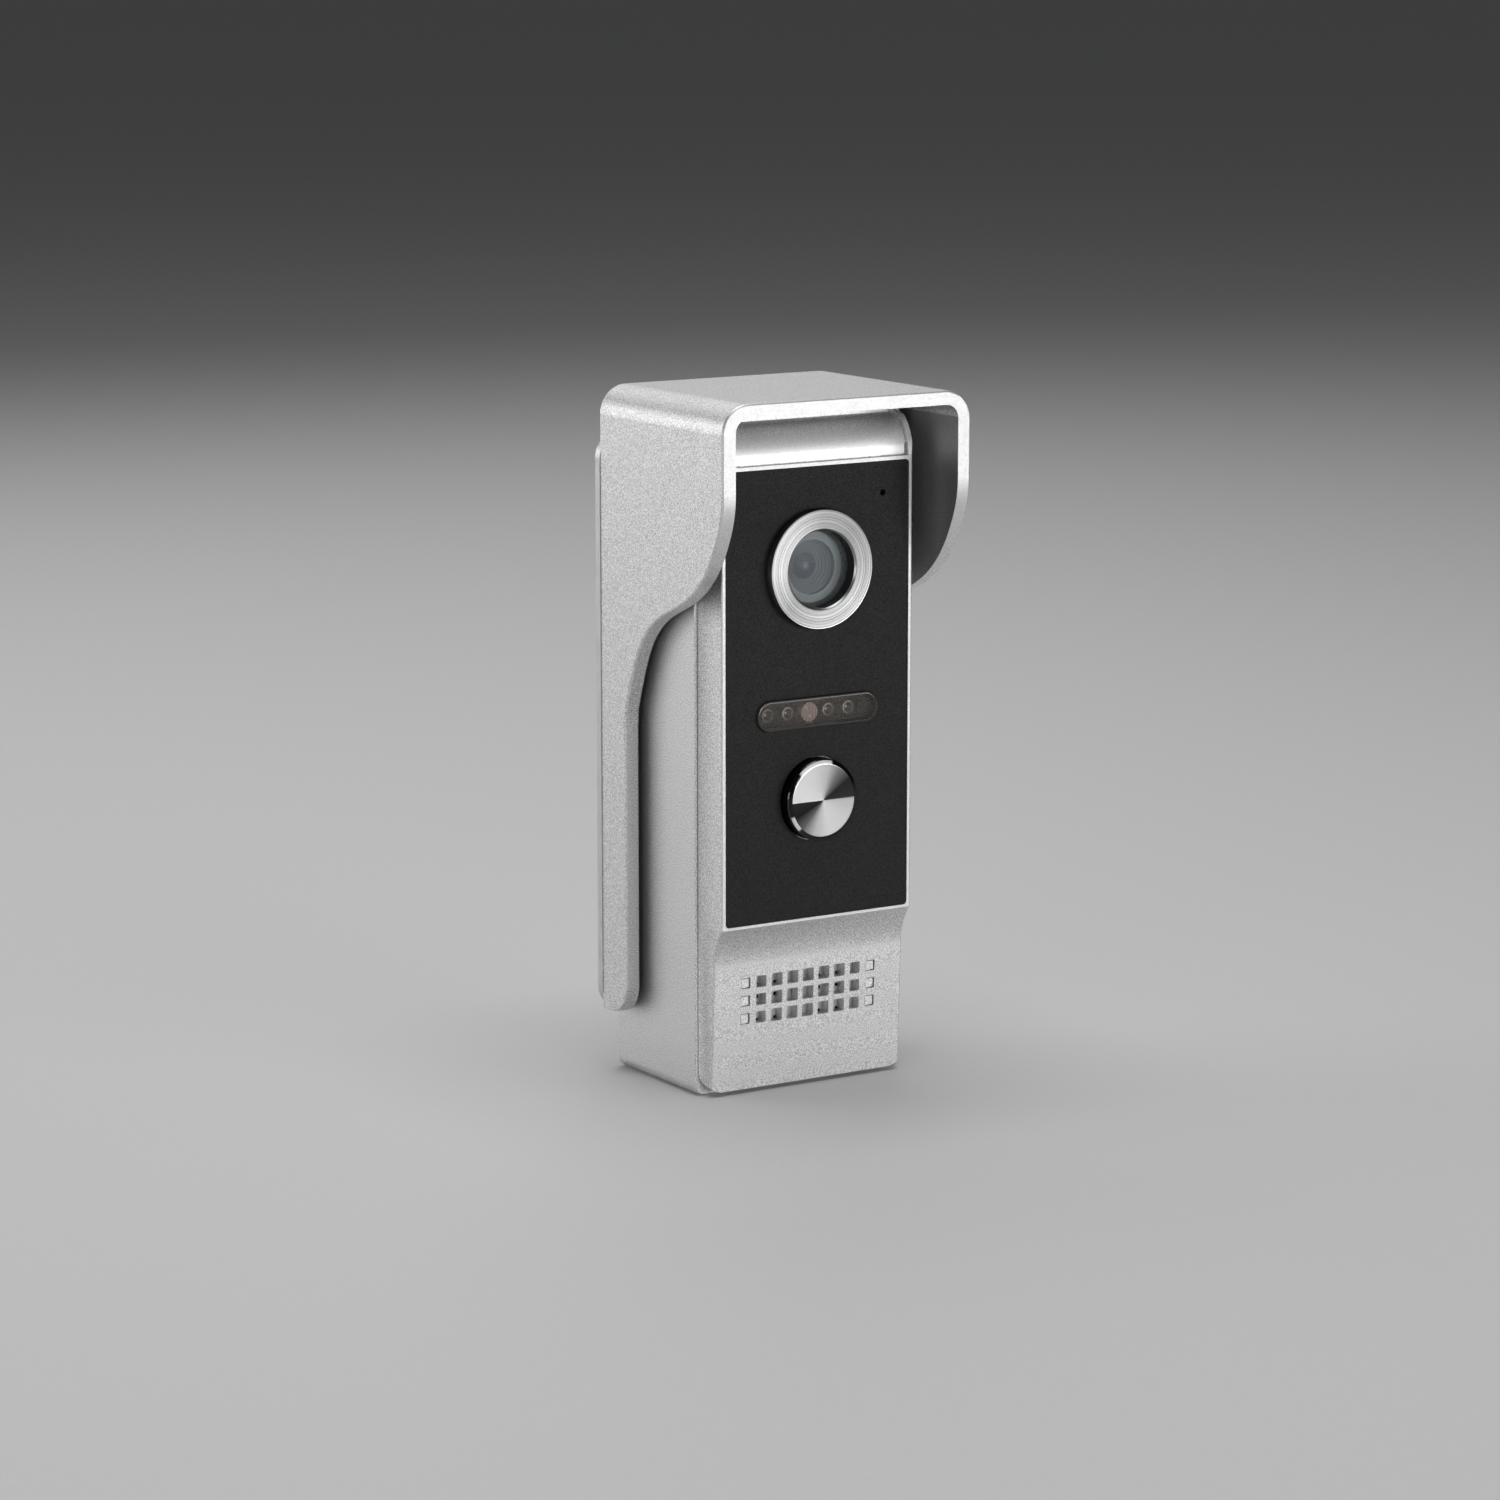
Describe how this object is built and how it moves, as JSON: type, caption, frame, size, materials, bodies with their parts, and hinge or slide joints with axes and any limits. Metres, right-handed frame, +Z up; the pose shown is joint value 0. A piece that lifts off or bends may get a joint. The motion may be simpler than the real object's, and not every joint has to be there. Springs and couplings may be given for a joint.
{
  "type": "video doorbell",
  "caption": "Upright outdoor video door station with camera, smoked night-light window, sprung call button and speaker grille under a silver rain hood on a flat back plate.",
  "frame": {"origin": "centre of the overall footprint, at the level of the body's underside", "axes": "+Z up along the body, -Y out of the front panel towards the visitor, +Y into the wall, +X to the right seen from the front"},
  "size_m": [0.058, 0.047, 0.139],
  "materials": {
    "hood_silver": "fine metallic silver paint with a satin sparkle, smooth bright edges",
    "body_silver": "fine metallic silver paint with a satin sparkle",
    "plate_silver": "satin silver sheet",
    "panel_black": "very fine matte texture",
    "spun_metal": "concentric spun grooves",
    "button_chrome": "radially spun face and bright polished bevel",
    "clear_glass": "clear flat glass",
    "lens_glass": "coated lens glass",
    "smoked_window": "smoked translucent plastic",
    "led_clear": "clear moulded resin",
    "sensor_face": "photocell with a fine zigzag",
    "black_plastic": "moulded black plastic",
    "grey_plastic": "moulded grey plastic",
    "green_plastic": "moulded green terminal plastic",
    "black_rubber": "soft matte rubber",
    "grey_foam": "closed-cell foam",
    "steel": "zinc-plated steel",
    "mesh_silver": "thin perforated sheet",
    "spring_steel": "drawn spring wire",
    "speaker_paper": "pressed speaker paper",
    "magnet_dark": "ferrite in a plated cup",
    "board_green": "glass-fibre board with green solder mask",
    "component_black": "moulded chip package",
    "capacitor_sleeve": "printed-free dark sleeve"
  },
  "bodies": {
    "station": {"rain_hood": "hood_silver", "hood_screws": "steel", "hood_back_plate": "plate_silver", "hanger_studs": "steel", "locking_screw": "steel", "rear_housing": "body_silver", "front_cover": "body_silver", "front_panel": "panel_black", "rear_cover": "body_silver", "rear_gasket": "black_rubber", "rear_cover_screws": "steel", "lens_ring": "spun_metal", "lens_ring_nut": "black_plastic", "lens_window": "clear_glass", "lens_window_seal": "grey_foam", "lens_barrel": "black_plastic", "lens_front_element": "lens_glass", "lens_holder": "black_plastic", "image_sensor": "component_black", "camera_board": "board_green", "camera_connector": "grey_plastic", "led_window": "smoked_window", "led_window_seal": "grey_foam", "infrared_leds": "led_clear", "light_sensor": "sensor_face", "led_board": "component_black", "button_guide": "black_plastic", "button_return_spring": "spring_steel", "push_switch": "component_black", "microphone": "mesh_silver", "microphone_boot": "black_rubber", "speaker_mesh": "mesh_silver", "speaker_gasket": "grey_foam", "speaker_frame": "steel", "speaker_cone": "speaker_paper", "speaker_magnet": "magnet_dark", "speaker_clamp": "steel", "main_board": "board_green", "board_screws": "steel", "board_chips": "component_black", "capacitors": "capacitor_sleeve", "terminal_block": "green_plastic", "terminal_screws": "steel", "speaker_plug": "grey_plastic", "cable_grommet": "black_rubber"},
    "button": {"button_cap": "button_chrome", "button_oring": "black_rubber", "button_retaining_ring": "spring_steel", "button_stem": "black_plastic"},
    "plunger": {"switch_plunger": "black_plastic"}
  },
  "joints": [
    {"name": "button_press", "type": "slide", "parent": "station", "child": "button", "axis": [0, 1, 0], "range_m": [0, 0.001], "stiffness_N_per_m": 400, "springref_m": -0.003, "deforming": ["button_return_spring"]},
    {"name": "switch_travel", "type": "slide", "parent": "station", "child": "plunger", "axis": [0, 1, 0], "range_m": [0, 0.001]}
  ],
  "couplings": [
    {"joint": "switch_travel", "follows": "button_press", "ratio": 1}
  ]
}
